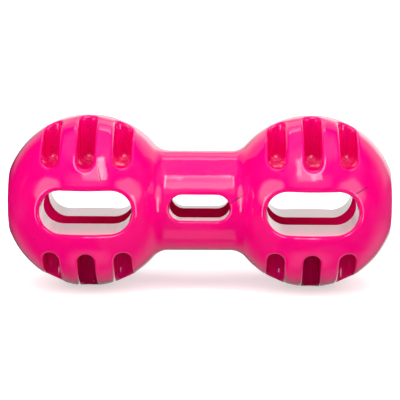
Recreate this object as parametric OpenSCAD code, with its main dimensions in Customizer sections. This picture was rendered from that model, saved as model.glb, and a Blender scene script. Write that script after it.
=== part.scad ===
// Rubber dumbbell chew toy for a dog: two slotted, windowed balls on a thick windowed bar,
// with an open passage from end to end. It is moulded as a front half and a back half,
// which are bonded face to face on the toy's middle plane.
// X runs along the toy, Y is its depth and Z is up. The toy stands on its two balls at Z = 0,
// with the windows level and the bonded faces on the plane Y = 0. Millimetres.

/* [Balls] */
// Diameter of each ball
ball_diameter = 74.6; // [70:0.2:80]
// Distance between the centres of the two balls
ball_spacing = 95.5; // [90:0.5:105]
// Width of the end ring that the passage leaves on a ball, before its edges are rounded
end_ring_width = 1.9; // [1.4:0.1:3]
// Radius of the end ring's outer edge
end_edge_radius = 2; // [0.5:0.1:3]

/* [Bar] */
// Diameter of the bar between the balls
bar_diameter = 43.4; // [39:0.2:48]
// Radius of the hollow neck where the bar runs into a ball
neck_radius = 8.2; // [6:0.2:10]

/* [Passage] */
// Diameter of the passage from end to end
bore_diameter = 24.6; // [21:0.2:27]
// Radius of the passage's edge at each mouth
mouth_radius = 0.5; // [0.2:0.1:0.9]

/* [Windows] */
// Length of the window through each ball, at the middle plane
ball_window_length = 37.8; // [30:0.2:44]
// Height of the window through each ball, at the middle plane
ball_window_height = 17.4; // [13:0.2:20]
// Length of the window through the bar, at the middle plane
bar_window_length = 25.2; // [18:0.2:30]
// Height of the window through the bar, at the middle plane
bar_window_height = 10.6; // [8:0.2:14]
// Draft on the walls of the windows, in degrees, opening outwards
draft = 1; // [0.25:0.25:3]

/* [Slots] */
// Slots side by side above and below each ball's window, on each face
slots_per_row = 3; // [1:1:3]
// Width of a slot, which has a floor and an inner end that are fully round
slot_width = 7.3; // [6:0.1:8.6]
// Distance from the middle of one slot to the next
slot_pitch = 15.2; // [13.6:0.1:16.6]
// Height above the toy's axis of the centre of a slot's round inner end
slot_end_height = 21.6; // [20:0.1:25]
// Thickness, where it is thinnest, of the web between a front slot and the back slot behind it
web_thickness = 5.2; // [3.6:0.2:8]

/* [Hidden] */
$fn = 128;

rubber_pink = "deeppink";

// How far every cut runs past the surface that it opens
overrun = 1;

ball_r = ball_diameter / 2;
bar_r = bar_diameter / 2;
bore_r = bore_diameter / 2;
ball_x = ball_spacing / 2;

// Past the tip that each ball would have with no end ring
tip_x = ball_x + ball_r + overrun;

// The end ring lies where the ball has narrowed to the ring's outer radius
end_ring_r = bore_r + end_ring_width;
end_x = ball_x + sqrt(pow(ball_r, 2) - pow(end_ring_r, 2));

// Centre of the arc that rounds the end ring's outer edge into the ball: [radius, place along X]
end_arc_x = end_x - end_edge_radius;
end_arc = [sqrt(pow(ball_r - end_edge_radius, 2) - pow(end_arc_x - ball_x, 2)), end_arc_x];

// Centre of the arc that hollows the neck, touching both the ball and the bar
neck_arc = [bar_r + neck_radius,
            ball_x - sqrt(pow(ball_r + neck_radius, 2) - pow(bar_r + neck_radius, 2))];

// Depth at which every cut from a face is past the rubber
face_depth = ball_r + overrun;
slot_r = slot_width / 2;
slot_floor = web_thickness / 2;

// Outline of the solid wall from the middle of the bar to one end, as [radius, place along X]
module wall_outline() {
    difference() {
        union() {
            square([bar_r, ball_x]);
            translate([0, ball_x]) circle(ball_r);
            neck_outline();
        }
        translate([0, -ball_r]) square([ball_diameter, ball_r]);
        translate([bore_r - ball_diameter, -ball_r]) square([ball_diameter, ball_r + tip_x]);
        end_trim();
    }
}

// Rubber that fills the corner between bar and ball up to the neck's arc
module neck_outline() {
    difference() {
        polygon([[0, neck_arc[1]], neck_arc, [0, ball_x]]);
        translate(neck_arc) circle(neck_radius);
    }
}

// What is cut off the outline past the end ring, with the ring's outer edge and the mouth rounded
module end_trim() {
    reach = end_arc - [0, ball_x];
    past = reach * (ball_r + overrun) / norm(reach) + [0, ball_x];
    translate([0, end_x]) square([ball_diameter, ball_r]);
    difference() {
        polygon([end_arc, past, [past[0], end_x + overrun], [end_arc[0], end_x + overrun]]);
        translate(end_arc) circle(end_edge_radius);
    }
    difference() {
        translate([bore_r - overrun, end_x - mouth_radius])
            square([overrun + mouth_radius, mouth_radius + overrun]);
        translate([bore_r + mouth_radius, end_x - mouth_radius]) circle(mouth_radius);
    }
}

// Half the height, at a depth, of a window that is this high at the middle plane
function drafted(height, depth) = height / 2 + depth * tan(draft);

// Half the section of a window at right angles to its length, as [half height, depth]
module window_outline(height) {
    polygon([[0, -overrun], [drafted(height, -overrun), -overrun],
             [drafted(height, face_depth), face_depth], [0, face_depth]]);
}

// The space of a window, round at both ends, from the middle plane out through the face
module window(length, height) {
    straight = length - height;
    rotate([0, 90, 0]) linear_extrude(straight, center = true)
        for (side = [0, 1]) mirror([side, 0]) window_outline(height);
    for (side = [0, 1]) mirror([side, 0, 0])
        translate([straight / 2, 0, 0]) rotate([-90, 0, 0]) rotate([0, 0, -90])
            rotate_extrude(angle = 180) window_outline(height);
}

// Half the section of a slot at right angles to its length, as [half width, depth]
module slot_outline() {
    difference() {
        translate([0, slot_floor]) square([slot_r, face_depth]);
        difference() {
            translate([0, slot_floor - overrun]) square([slot_r + overrun, slot_r + overrun]);
            translate([0, slot_floor + slot_r]) circle(slot_r);
        }
    }
}

// The space of one slot: a round inner end, then straight walls that run out through the ball
module slot() {
    translate([0, 0, slot_end_height]) {
        linear_extrude(ball_r)
            for (side = [0, 1]) mirror([side, 0]) slot_outline();
        rotate([-90, 0, 0]) rotate_extrude(angle = 180) slot_outline();
    }
}

// One row of slots along the crown of a ball
module slot_row() {
    for (i = [0 : slots_per_row - 1])
        translate([(i - (slots_per_row - 1) / 2) * slot_pitch, 0, 0]) slot();
}

// The same thing at both ends of the toy
module both_ends() {
    for (side = [0, 1]) mirror([side, 0, 0]) children();
}

// The half moulding on the +Y side of the middle plane, about the toy's axis
module half_moulding() {
    difference() {
        both_ends() rotate([0, 90, 0]) rotate_extrude(angle = 180) wall_outline();
        window(bar_window_length, bar_window_height);
        both_ends() translate([ball_x, 0, 0]) {
            window(ball_window_length, ball_window_height);
            for (under = [0, 1]) mirror([0, 0, under]) slot_row();
        }
    }
}

module front_half() {
    color(rubber_pink) translate([0, 0, ball_r]) mirror([0, 1, 0]) half_moulding();
}

module back_half() {
    color(rubber_pink) translate([0, 0, ball_r]) half_moulding();
}

front_half();
back_half();
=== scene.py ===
# The looks of a dog's rubber chew toy: two slotted, windowed balls on a thick windowed bar, with
# a round passage from end to end. It is one glossy hot pink rubber, moulded as a front half and
# a back half that are bonded face to face. X runs along the toy, Y is its depth, Z is up, and it
# stands on its two balls at Z = 0. Metres.

import math

import bmesh
import bpy
import numpy as np
from mathutils import Matrix, Vector, noise as ripple


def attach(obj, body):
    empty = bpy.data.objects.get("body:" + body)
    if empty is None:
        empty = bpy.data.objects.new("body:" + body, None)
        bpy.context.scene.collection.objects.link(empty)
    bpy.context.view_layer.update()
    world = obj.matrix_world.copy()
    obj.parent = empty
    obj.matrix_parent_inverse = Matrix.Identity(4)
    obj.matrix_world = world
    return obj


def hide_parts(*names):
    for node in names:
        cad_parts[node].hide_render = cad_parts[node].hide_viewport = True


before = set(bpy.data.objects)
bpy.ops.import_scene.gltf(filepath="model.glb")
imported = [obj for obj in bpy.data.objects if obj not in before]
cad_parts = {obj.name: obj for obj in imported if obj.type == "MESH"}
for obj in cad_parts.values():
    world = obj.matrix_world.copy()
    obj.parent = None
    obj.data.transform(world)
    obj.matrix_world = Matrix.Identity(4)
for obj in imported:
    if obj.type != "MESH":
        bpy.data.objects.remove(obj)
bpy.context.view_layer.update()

MM = 0.001

# The toy's sizes, about its own axis
BALL_R = 37.3 * MM
BALL_X = 47.75 * MM
BAR_R = 21.7 * MM
NECK_R = 8.2 * MM
BORE_R = 12.3 * MM
END_RING_R = 14.2 * MM
END_X = BALL_X + math.sqrt(BALL_R ** 2 - END_RING_R ** 2)
NECK = (BALL_X - math.sqrt((BALL_R + NECK_R) ** 2 - (BAR_R + NECK_R) ** 2), BAR_R + NECK_R)
DRAFT = math.tan(math.radians(1))

# Windows: half the straight length between the round ends, and half the height
BALL_WINDOW = (10.2 * MM, 8.7 * MM)
BAR_WINDOW = (7.3 * MM, 5.3 * MM)

# Slots, above and below each ball's window, with floors and inner ends that are fully round.
# A slot is a little narrower at its inner end than at the crown of the ball.
SLOT_R = 3.55 * MM
SLOT_PITCH = 15.2 * MM
SLOT_Z = 21.6 * MM
SLOT_FLOOR = 2.6 * MM
SLOT_FLARE = math.tan(math.radians(0.9))

# Radii of the edges: of the end rings outside and inside, of the balls' windows, and of the bar's
# window and the slots
END_EDGE_R = 2 * MM
MOUTH_R = 0.5 * MM
WINDOW_RIM_R = 2 * MM
RIM_R = 1.4 * MM

# A slot's edge is sharper where it crosses the crown of the ball. This is its radius there, the
# distance from the middle plane at which it starts to grow, and its growth with that distance.
CROWN_R = 0.8 * MM
CROWN_REACH = 4 * MM
CROWN_GROWTH = 0.15

# The bond line round the middle plane: how far it reaches from the plane, and how deep it is
BOND_REACH = 0.35 * MM
BOND_DEPTH = 0.12 * MM
# Points nearer to the middle plane than this are taken as on it
ON_PLANE = 0.01 * MM

# The swells that a cast skin keeps: how many to a metre, how deep the skin lies midway between
# high and low, how far into a cut they end, and over how much of that way they fade
SWELLS = 210
SWELL_DEPTH = 0.045 * MM
SWELL_END = 3 * MM
SWELL_FADE = 2 * MM

# How far every cut runs out, past the rubber
PAST = 40 * MM

# Faces round the spun wall, along its section at a ball and at a neck, and round a cut
SPIN_STEPS = 192
BALL_STEPS = 64
NECK_STEPS = 12
CUT_STEPS = 48

# The even faces of the finished skin: their size, and how they are relaxed
VOXEL = 0.68 * MM
RELAX_FACTOR = 0.5
RELAX_ROUNDS = 6

# How points are moved onto the skin: how often, the step that its slope is measured over, and
# the least square of a slope that is believed
SETTLE_ROUNDS = 6
SLOPE_STEP = 0.01 * MM
LEAST_SLOPE = 0.25


# ---- The moulding's form, from a spun wall and straight cuts ----

def arc(centre, radius, start, end, steps):
    """Points (x, distance from the axis) along an arc, between two angles from +X."""
    turns = (start + (end - start) * i / steps for i in range(steps + 1))
    return [(centre[0] + radius * math.cos(t), centre[1] + radius * math.sin(t)) for t in turns]


def wall_outline():
    """Section of the wall above the axis, from the left mouth over the skin to the right one."""
    meeting = math.atan2(NECK[1], NECK[0] - BALL_X)
    ring = math.acos((END_X - BALL_X) / BALL_R)
    right = (arc(NECK, NECK_R, -math.pi / 2, meeting - math.pi, NECK_STEPS)
             + arc((BALL_X, 0), BALL_R, meeting, ring, BALL_STEPS)[1:]
             + [(END_X, BORE_R)])
    return [(-x, r) for x, r in reversed(right)] + right


def make_wall():
    """The toy without windows and slots: the wall's section, spun round the axis."""
    bm = bmesh.new()
    ring = [bm.verts.new((x, 0, r)) for x, r in wall_outline()]
    edges = [bm.edges.new(pair) for pair in zip(ring, ring[1:] + ring[:1])]
    bmesh.ops.spin(bm, geom=ring + edges, cent=(0, 0, 0), axis=(1, 0, 0), dvec=(0, 0, 0),
                   angle=math.tau, steps=SPIN_STEPS, use_merge=True)
    bmesh.ops.recalc_face_normals(bm, faces=bm.faces)
    return finished(bm, "wall")


def add_cut(bm, x, z, radius, spread, run, near, far):
    """A cut along Y: a circle pulled apart sideways, or run out on its upper or lower side."""
    place = (Matrix.Translation((x, near, z)) @ Matrix.Rotation(math.pi / 2, 4, "X")
             @ Matrix.Rotation(math.pi / CUT_STEPS, 4, "Z"))
    ring = bmesh.ops.create_circle(bm, cap_ends=True, segments=CUT_STEPS, radius=radius,
                                   matrix=place)["verts"]
    for v in ring:
        v.co.x += math.copysign(spread, v.co.x - x)
        v.co.z += run if (v.co.z - z) * run > 0 else 0
    grown = bmesh.ops.extrude_face_region(bm, geom=ring[0].link_faces[:])["geom"]
    bmesh.ops.translate(bm, vec=(0, far - near, 0),
                        verts=[g for g in grown if isinstance(g, bmesh.types.BMVert)])


def make_cuts():
    """The space of the windows and the slots."""
    bm = bmesh.new()
    add_cut(bm, 0, 0, BAR_WINDOW[1], BAR_WINDOW[0], 0, -PAST, PAST)
    for ball in (-BALL_X, BALL_X):
        add_cut(bm, ball, 0, BALL_WINDOW[1], BALL_WINDOW[0], 0, -PAST, PAST)
        for place in (-SLOT_PITCH, 0, SLOT_PITCH):
            for up in (-1, 1):
                for side in (-1, 1):
                    add_cut(bm, ball + place, up * SLOT_Z, SLOT_R, 0, up * PAST,
                            side * SLOT_FLOOR, side * PAST)
    bmesh.ops.recalc_face_normals(bm, faces=bm.faces)
    return finished(bm, "cuts")


def finished(bm, name):
    """An object in the scene for what the bmesh holds."""
    mesh = bpy.data.meshes.new(name)
    bm.to_mesh(mesh)
    bm.free()
    made = bpy.data.objects.new(name, mesh)
    bpy.context.scene.collection.objects.link(made)
    return made


def evened(wall, cuts):
    """The wall less its cuts, as one mesh of small even faces."""
    boolean = wall.modifiers.new("cut", "BOOLEAN")
    boolean.operation, boolean.solver, boolean.object = "DIFFERENCE", "EXACT", cuts
    remesh = wall.modifiers.new("even", "REMESH")
    remesh.mode, remesh.voxel_size = "VOXEL", VOXEL
    relax = wall.modifiers.new("relax", "SMOOTH")
    relax.factor, relax.iterations = RELAX_FACTOR, RELAX_ROUNDS
    shown = wall.evaluated_get(bpy.context.evaluated_depsgraph_get())
    mesh = bpy.data.meshes.new_from_object(shown)
    for spent in (wall, cuts):
        bpy.data.objects.remove(spent)
    return mesh


# ---- The moulded skin, with its draft and rounded edges ----

def either(a, b, radius):
    """Distance to what lies in a or in b, with the corner between them filled to a radius."""
    return (np.maximum(radius, np.minimum(a, b))
            - np.hypot(np.maximum(radius - a, 0), np.maximum(radius - b, 0)))


def both(a, b, radius):
    """Distance to what lies in a and in b, with the edge between them rounded to a radius."""
    return -either(-a, -b, radius)


def window(x, y, z, half, radius):
    """Distance to the space of a window, which widens outwards."""
    return np.hypot(np.maximum(np.abs(x) - half, 0), z) - radius - y * DRAFT


def between(x, reach, centre, first, last):
    """Which points lie in the wedge at a centre, anticlockwise from one direction to another."""
    over, out = x - centre[0], reach - centre[1]
    return (first[0] * out > first[1] * over) & (over * last[1] > out * last[0])


def wall(x, reach):
    """Distance to the wall without its cuts, from the places along the toy and off its axis."""
    ball = np.hypot(x - BALL_X, reach) - BALL_R
    whole = np.maximum(np.minimum(ball, np.maximum(reach - BAR_R, x - BALL_X)), x - END_X)
    in_neck = between(x, reach, NECK, (0, -1), (BALL_X - NECK[0], -NECK[1]))
    whole = np.where(in_neck, NECK_R - np.hypot(x - NECK[0], reach - NECK[1]), whole)
    edge_x = END_X - END_EDGE_R
    edge = (edge_x, math.sqrt((BALL_R - END_EDGE_R) ** 2 - (edge_x - BALL_X) ** 2))
    on_edge = between(x, reach, edge, (1, 0), (edge[0] - BALL_X, edge[1]))
    return np.where(on_edge, np.hypot(x - edge[0], reach - edge[1]) - END_EDGE_R, whole)


def skin(points):
    """Distance of each point from the rubber's surface, below zero inside the rubber."""
    x, y, z = np.abs(points.T)
    along = x - BALL_X
    reach = np.hypot(y, z)
    body = both(wall(x, reach), -window(along, y, z, *BALL_WINDOW), WINDOW_RIM_R)
    body = both(body, -window(x, y, z, *BAR_WINDOW), RIM_R)
    body = both(body, BORE_R - reach, MOUTH_R)
    beside = np.minimum(np.abs(along), np.abs(np.abs(along) - SLOT_PITCH))
    half = SLOT_R + np.maximum(z - SLOT_Z, 0) * SLOT_FLARE
    walls = np.hypot(beside, np.minimum(z - SLOT_Z, 0)) - half
    slots = both(walls, SLOT_FLOOR - y, half)
    rim = np.clip(CROWN_R + (y - CROWN_REACH) * CROWN_GROWTH, CROWN_R, RIM_R)
    return both(body, -slots, rim)


def settled(mesh):
    """The mesh with every point moved onto the skin."""
    points = np.empty(len(mesh.vertices) * 3)
    mesh.vertices.foreach_get("co", points)
    points = points.reshape(-1, 3)
    for _ in range(SETTLE_ROUNDS):
        slope = np.stack([(skin(points + step) - skin(points - step)) / (2 * SLOPE_STEP)
                          for step in np.eye(3) * SLOPE_STEP], axis=1)
        length = np.maximum((slope ** 2).sum(axis=1, keepdims=True), LEAST_SLOPE)
        points -= slope * skin(points)[:, None] / length
    mesh.vertices.foreach_set("co", points.ravel())
    mesh.update()
    return mesh


def swelled(mesh):
    """The mesh with the slight swells of a cast skin, which end a little way into each cut."""
    for v, normal in zip(mesh.vertices, [n.vector.copy() for n in mesh.vertex_normals]):
        past = wall(abs(v.co.x), math.hypot(v.co.y, v.co.z)) + SWELL_END
        share = min(max(past / SWELL_FADE, 0), 1)
        v.co -= normal * (1 + ripple.noise(v.co * SWELLS)) * SWELL_DEPTH * share
    mesh.update()
    return mesh


def half_moulding(mesh, name, side):
    """The half of the moulding on one side of the middle plane, closed by its bonded face."""
    bm = bmesh.new()
    bm.from_mesh(mesh)
    for place, clear in ((side * BOND_REACH, False), (0, True)):
        bmesh.ops.bisect_plane(bm, geom=bm.verts[:] + bm.edges[:] + bm.faces[:], dist=ON_PLANE,
                               plane_co=(0, place, 0), plane_no=(0, side, 0), clear_inner=clear)
    bm.normal_update()
    seam = [e for e in bm.edges if e.is_boundary]
    for v in {v for e in seam for v in e.verts}:
        v.co -= v.normal * BOND_DEPTH
        v.co.y = 0
    for f in bm.faces:
        f.smooth = True
    for e in seam:
        e.smooth = False
    closed = bmesh.ops.holes_fill(bm, edges=seam)["faces"]
    for f in closed:
        f.smooth = False
    bmesh.ops.triangulate(bm, faces=closed)
    bmesh.ops.translate(bm, vec=(0, 0, BALL_R), verts=bm.verts)
    return finished(bm, name)


# ---- Materials ----

# The rubber's hot pink, and what it darkens to in scratches and pits
PINK = (0.9, 0.0008, 0.185, 1)
DARK_PINK = (0.12, 0.0004, 0.03, 1)
FLOOR_WHITE = (0.8, 0.8, 0.8, 1)

# The rubber's gloss under its skin, and that of the skin
ROUGHNESS, IOR = 0.08, 1.42
COAT_ROUGHNESS, COAT_IOR = 0.04, 1.5

# How far into a cut the marks of handling end and where they start to fade
HANDLED_END = 3 * MM
HANDLED_FADE = 1 * MM

# The marks in the skin: how many to a metre, and how high or deep they are in millimetres
WAVES, WAVE_HEIGHT = 700, 0.015
GRAIN, GRAIN_HEIGHT = 2600, 0.002
PITS, PIT_DEPTH = 900, 0.03
SCUFFS, MARK_DEPTH = 95, 0.03

# Straight scratches on the front: two ends and half a width, in millimetres. The second and the
# third are one, which bends with the right neck.
HAIRLINES = (
    ((-42.3, -31.5, 56.2), (-41.0, -34.0, 51.0), 0.5),
    ((13.8, -21.6, 40.4), (16.3, -21.7, 42.0), 0.5),
    ((16.3, -21.7, 42.0), (18.8, -22.8, 43.6), 0.5),
    ((65.5, -31.7, 45.8), (70.8, -27.5, 48.1), 0.45),
)


class Value:
    """A socket in a tree of shader nodes, or the tree's empty start. Sums on it add Math nodes."""

    def __init__(self, tree, socket=None):
        self.tree, self.socket = tree, socket

    def out(self, name):
        """Another output of the node that this one is an output of."""
        return Value(self.tree, self.socket.node.outputs[name])

    def node(self, kind, settings, sockets, out=0):
        """One more node of this type, with its settings made before its sockets are filled."""
        made = self.tree.nodes.new(kind)
        for name, setting in settings.items():
            setattr(made, name, setting)
        for name, given in sockets.items():
            if isinstance(given, Value):
                self.tree.links.new(given.socket, made.inputs[name])
            else:
                made.inputs[name].default_value = given
        return Value(self.tree, made.outputs[out] if made.outputs else None)

    def maths(self, operation, *terms):
        """What a Math node makes of the terms."""
        return self.node("ShaderNodeMath", {"operation": operation}, dict(enumerate(terms)))

    def __add__(self, other):
        return self.maths("ADD", self, other)

    def __sub__(self, other):
        return self.maths("SUBTRACT", self, other)

    def __rsub__(self, other):
        return self.maths("SUBTRACT", other, self)

    def __mul__(self, other):
        return self.maths("MULTIPLY", self, other)

    __radd__, __rmul__ = __add__, __mul__


def eased(value, start, end, low, high):
    """The value turned smoothly from a low to a high one between its start and its end."""
    return value.node("ShaderNodeMapRange", {"interpolation_type": "SMOOTHSTEP"},
                      {"Value": value, "From Min": start, "From Max": end, "To Min": low,
                       "To Max": high})


def emptied(made):
    """The material or world, with no nodes yet, and the start of them."""
    made.use_nodes = True
    made.node_tree.nodes.clear()
    return made, Value(made.node_tree)


def noise(place, scale, detail=2.0, distortion=0.0):
    """Soft noise, mostly between 0.3 and 0.7, of this many swells to a metre."""
    return place.node("ShaderNodeTexNoise", {}, {"Vector": place, "Scale": scale,
                                                 "Detail": detail, "Distortion": distortion})


def length_of(vector):
    return vector.node("ShaderNodeVectorMath", {"operation": "LENGTH"}, {0: vector}, out="Value")


def hairline(place, start, end, reach):
    """1 along a straight scratch between two points and 0 off its reach. Millimetres."""
    start, end = Vector(start) * MM, Vector(end) * MM
    run = end - start
    vectors = "ShaderNodeVectorMath"
    over = place.node(vectors, {"operation": "SUBTRACT"}, {0: place, 1: start})
    along = place.node(vectors, {"operation": "DOT_PRODUCT"},
                       {0: over, 1: run / run.length_squared}, out="Value")
    share = along.maths("MINIMUM", along.maths("MAXIMUM", along, 0), 1)
    nearest = place.node(vectors, {"operation": "SCALE"}, {0: run, "Scale": share})
    away = place.node(vectors, {"operation": "DISTANCE"}, {0: over, 1: nearest}, out="Value")
    return eased(away, 0, reach * MM, 1, 0)


def make_rubber():
    """Glossy hot pink rubber. Its skin has waves, grain, pits, scuffs and a few hairlines."""
    made, start = emptied(bpy.data.materials.new("pink_rubber"))
    place = start.node("ShaderNodeTexCoord", {}, {}, out="Object")
    axes = start.node("ShaderNodeSeparateXYZ", {}, {0: place})
    from_ball = start.node("ShaderNodeCombineXYZ", {}, {
        "X": start.maths("ABSOLUTE", axes) - BALL_X,
        "Y": axes.out("Y"),
        "Z": axes.out("Z") - BALL_R})
    reach = length_of(from_ball)
    outside = eased(reach, BALL_R - HANDLED_END, BALL_R - HANDLED_FADE, 0, 1)

    # The ranges of each noise choose how much of the skin it marks
    waves = noise(place, WAVES) * WAVE_HEIGHT * outside
    handled = eased(noise(place, 55, 3.0, 0.6), 0.46, 0.6, 0, 1) * outside
    grain = noise(place, GRAIN) * GRAIN_HEIGHT * handled

    cells = start.node("ShaderNodeTexVoronoi", {}, {"Vector": place, "Scale": PITS},
                       out="Distance")
    chance = start.node("ShaderNodeSeparateColor", {}, {0: cells.out("Color")}, out="Red")
    pits = (eased(cells, 0.1, 0.25, 1, 0) * eased(chance, 0.9, 0.93, 0, 1)
            * eased(noise(place, 40, 1.0), 0.5, 0.6, 0, 1))

    swept = noise(place, SCUFFS, distortion=1.2) - 0.5
    line = eased(swept.maths("ABSOLUTE", swept), 0, 0.0035, 1, 0)
    scuffs = line * eased(noise(place, 130, 0.0), 0.58, 0.66, 0, 1)
    cuts = sum(hairline(place, *ends_and_reach) for ends_and_reach in HAIRLINES)
    marks = start.maths("MINIMUM", scuffs * 0.6 + cuts, 1)

    height = waves + grain - pits * PIT_DEPTH - marks * MARK_DEPTH
    bump = start.node("ShaderNodeBump", {}, {"Strength": 1.0, "Distance": MM, "Height": height})
    dulled = handled * 0.1 + marks * 0.2 + pits * 0.2
    darkened = start.maths("MINIMUM", marks + pits * 0.3, 1)
    colour = start.node("ShaderNodeMix", {"data_type": "RGBA"},
                        {"Factor": darkened, "A": PINK, "B": DARK_PINK}, out="Result")
    shader = start.node("ShaderNodeBsdfPrincipled", {},
                        {"Base Color": colour, "Roughness": dulled + ROUGHNESS, "IOR": IOR,
                         "Coat Weight": 1 - marks, "Coat Roughness": COAT_ROUGHNESS,
                         "Coat IOR": COAT_IOR, "Normal": bump})
    start.node("ShaderNodeOutputMaterial", {}, {"Surface": shader})
    return made


def make_floor_paint():
    """White floor, lit up for the camera as the sweep behind a product is."""
    made, start = emptied(bpy.data.materials.new("white_floor"))
    seen = start.node("ShaderNodeLightPath", {}, {}, out="Is Camera Ray")
    place = start.node("ShaderNodeTexCoord", {}, {}, out="Object")
    away = length_of(place)
    paint = start.node("ShaderNodeBsdfDiffuse", {}, {"Color": FLOOR_WHITE})
    glow = start.node("ShaderNodeEmission", {}, {"Strength": seen * eased(away, 0.2, 1, 0.55, 1)})
    shader = start.node("ShaderNodeAddShader", {}, {0: paint, 1: glow})
    start.node("ShaderNodeOutputMaterial", {}, {"Surface": shader})
    return made


# ---- The toy ----

moulding = swelled(settled(evened(make_wall(), make_cuts())))
rubber = make_rubber()
for side, half in ((-1, "front"), (1, "back")):
    piece = half_moulding(moulding, half + "_moulding", side)
    piece.data.materials.append(rubber)
    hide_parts(half + "_half")
    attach(piece, "root")
bpy.data.meshes.remove(moulding)


# ---- The studio ----

TOY_CENTRE = Vector((0, 0, BALL_R))
FLOOR_R = 6

# The camera: its place from the toy's centre as azimuth, elevation and distance, how far it is
# moved right and up from there, how far it is rolled, and its lens and sensor in millimetres
CAMERA_WAY = (0.8, 9.7)
CAMERA_DISTANCE = 0.86842
CAMERA_RIGHT = -0.04 * MM
CAMERA_UP = 0.17 * MM
CAMERA_ROLL = math.radians(0.2)
LENS, SENSOR = 180, 36

# The direction straight away from the toy to the screen behind it, which stands at a slight turn
SCREEN_WAY = (0.17, 0.985)

# How bright the rubber mirrors the parts of the room, against the white of the background.
# The strips have a brightness to the left and one to the right.
SCREEN = 1.1
BACK_FLOOR = 0.27
BACK_FLANKS = 0.4
SIDE_GLOW = 0.12
CEILING = 0.22
FRONT_WALL = 0.4
BELOW = 0.4
BELOW_BEHIND = BELOW * 0.3
STRIPS = (1.85, 1.55)


def make_floor():
    """The white floor, which takes the toy's shadow."""
    bm = bmesh.new()
    bmesh.ops.create_circle(bm, cap_ends=True, segments=64, radius=FLOOR_R)
    floor = finished(bm, "floor")
    floor.data.materials.append(make_floor_paint())
    floor.visible_glossy = False


def towards(azimuth, elevation):
    """Unit direction from the toy, with azimuth 0 to the camera's side and 90 to the right."""
    a, e = math.radians(azimuth), math.radians(elevation)
    return Vector((math.sin(a) * math.cos(e), -math.cos(a) * math.cos(e), math.sin(e)))


def softbox(name, azimuth, elevation, distance, width, height, brightness, glossy=True,
            diffuse=True):
    """A rectangular lamp that faces the toy, as bright per area as a white of this strength."""
    lamp = bpy.data.lights.new(name, "AREA")
    lamp.shape, lamp.size, lamp.size_y = "RECTANGLE", width, height
    lamp.energy = brightness * math.pi * width * height
    made = bpy.data.objects.new(name, lamp)
    back = towards(azimuth, elevation)
    made.location = TOY_CENTRE + back * distance
    made.rotation_mode = "QUATERNION"
    made.rotation_quaternion = back.to_track_quat("Z", "Y")
    made.visible_camera = False
    made.visible_glossy = glossy
    made.visible_diffuse = diffuse
    bpy.context.scene.collection.objects.link(made)


def make_camera():
    """The camera, a little above the toy's middle and almost square to it."""
    lens = bpy.data.cameras.new("camera")
    lens.lens, lens.sensor_width = LENS, SENSOR
    made = bpy.data.objects.new("camera", lens)
    back = towards(*CAMERA_WAY)
    across = Vector((-back.y, back.x, 0)).normalized()
    up = back.cross(across)
    right = across * math.cos(CAMERA_ROLL) + up * math.sin(CAMERA_ROLL)
    above = up * math.cos(CAMERA_ROLL) - across * math.sin(CAMERA_ROLL)
    place = TOY_CENTRE + back * CAMERA_DISTANCE + right * CAMERA_RIGHT + above * CAMERA_UP
    turned = Matrix((right, above, back)).transposed().to_4x4()
    made.matrix_world = Matrix.Translation(place) @ turned
    bpy.context.scene.collection.objects.link(made)
    bpy.context.scene.camera = made


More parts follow.
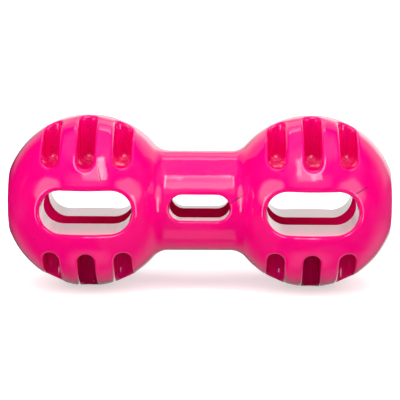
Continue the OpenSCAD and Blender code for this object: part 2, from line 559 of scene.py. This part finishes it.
def make_world():
    """White to the camera. The toy sees a bright screen behind it and a dark room before it.

    A part of the room lies between limits on a direction's height, its reach to the side and its
    reach towards the screen, each from -1 to 1. The pairs in eased are where a limit starts and
    ends.
    """
    world, start = emptied(bpy.data.worlds.new("studio"))
    seen = start.node("ShaderNodeLightPath", {}, {}, out="Is Camera Ray")
    way = start.node("ShaderNodeTexCoord", {}, {}, out="Generated")
    axes = start.node("ShaderNodeSeparateXYZ", {}, {0: way})
    up, beside = axes.out("Z"), axes.maths("ABSOLUTE", axes.out("X"))
    ahead = axes.out("Y") * SCREEN_WAY[1] + axes.out("X") * SCREEN_WAY[0]
    screen = eased(ahead, 0.86, 0.965, 0, SCREEN)
    floor = eased(ahead, 0.1, 0.7, 0, BACK_FLOOR) * eased(up, -0.5, -0.2, 1, 0)
    side = (eased(axes.out("X"), 0.4, 0.8, 0, SIDE_GLOW) * eased(ahead, 0.25, 0.6, 0, 1)
            * eased(up, 0.3, 0.45, 1, 0))
    flanks = (eased(ahead, 0.5, 0.8, 0, BACK_FLANKS) * eased(beside, 0.1, 0.3, 0, 1)
              * eased(up, 0, 0.15, 0, 1) * eased(up, 0.5, 0.65, 1, 0))
    before = eased(ahead, -0.1, 0.1, 1, 0)
    ceiling = eased(up, 0.8, 0.93, 0, CEILING)
    front = (before * eased(up, 0.35, 0.5, 0, FRONT_WALL) * eased(up, 0.6, 0.75, 1, 0)
             * eased(beside, 0.3, 0.55, 1, 0))
    below = (eased(up, -0.93, -0.84, 1, 0) * eased(ahead, -0.1, 0.1, BELOW, BELOW_BEHIND)
             * eased(beside, 0.2, 0.45, 1, 0))
    flat = start.node("ShaderNodeCombineXYZ", {}, {"X": beside, "Y": up})
    round_strip = start.node("ShaderNodeVectorMath", {"operation": "DISTANCE"},
                             {0: flat, 1: (0.4, 0.1, 0)}, out="Value")
    strips = (before * eased(axes.out("X"), -0.1, 0.1, *STRIPS)
              * eased(beside, 0.55, 0.68, 0, 1) * eased(up, 0.47, 0.53, 1, 0)
              * eased(up, -0.1, 0.16, 0, 1) * eased(round_strip, 0.54, 0.58, 1, 0))
    room = screen + floor + flanks + side + ceiling + front + below + strips
    strength = seen.maths("MAXIMUM", room * (1 - seen), seen)
    background = start.node("ShaderNodeBackground", {}, {"Strength": strength})
    start.node("ShaderNodeOutputWorld", {}, {"Surface": background})
    bpy.context.scene.world = world


make_floor()
make_camera()
make_world()

# Each lamp has its azimuth and elevation in degrees, distance, width, height and brightness.
# The key over the camera and the edges of its mirrored shape:
softbox("key", 0, 51.5, 0.41, 0.175, 0.243, 1.3)
softbox("key_top_edge", 0, 64, 0.41, 0.175, 0.035, 1.0, diffuse=False)
softbox("key_foot_edge", 0, 44.5, 0.41, 0.175, 0.093, 0.7, diffuse=False)
softbox("key_left_edge", -13, 52, 0.41, 0.05, 0.15, 2.6, diffuse=False)
softbox("key_right_edge", 16, 52, 0.41, 0.08, 0.24, 3.6, diffuse=False)
# The lamps behind the toy, which the crowns of the balls mirror, and the fill from there:
softbox("backdrop", 180, 45, 0.12, 0.2, 0.09, 0.22, diffuse=False)
softbox("back_foot", 180, 43, 0.42, 0.24, 0.1, 0.35, diffuse=False)
softbox("back_top", 180, 60, 0.42, 0.24, 0.075, 0.6, diffuse=False)
softbox("back_edge", 180, 63, 0.42, 0.24, 0.03, 0.8, diffuse=False)
softbox("back_fill", 180, 25, 1.0, 0.8, 0.5, 1.2, glossy=False)
# At each side the light of a strip, whose mirrored shape is in the world, its foot and a fill:
for side, way in (("left", -1), ("right", 1)):
    softbox(side + "_strip", way * 61, 18, 1.0, 0.54, 0.42, 0.9, glossy=False)
    softbox(side + "_strip_foot", way * 56, -2, 1.0, 0.22, 0.44, 3.6, diffuse=False)
    softbox(side + "_top_fill", way * 70, 50, 1.0, 0.8, 0.8, 2.4, glossy=False)
# The fills from the front and from above:
softbox("front_top_fill", 0, 50, 1.0, 0.8, 0.8, 0.6, glossy=False)
softbox("front_fill", 0, 14, 1.0, 0.8, 0.45, 0.9, glossy=False)
softbox("top_fill", 0, 85, 1.0, 1.0, 1.0, 1.9, glossy=False)
bpy.context.scene.view_settings.view_transform = "Standard"
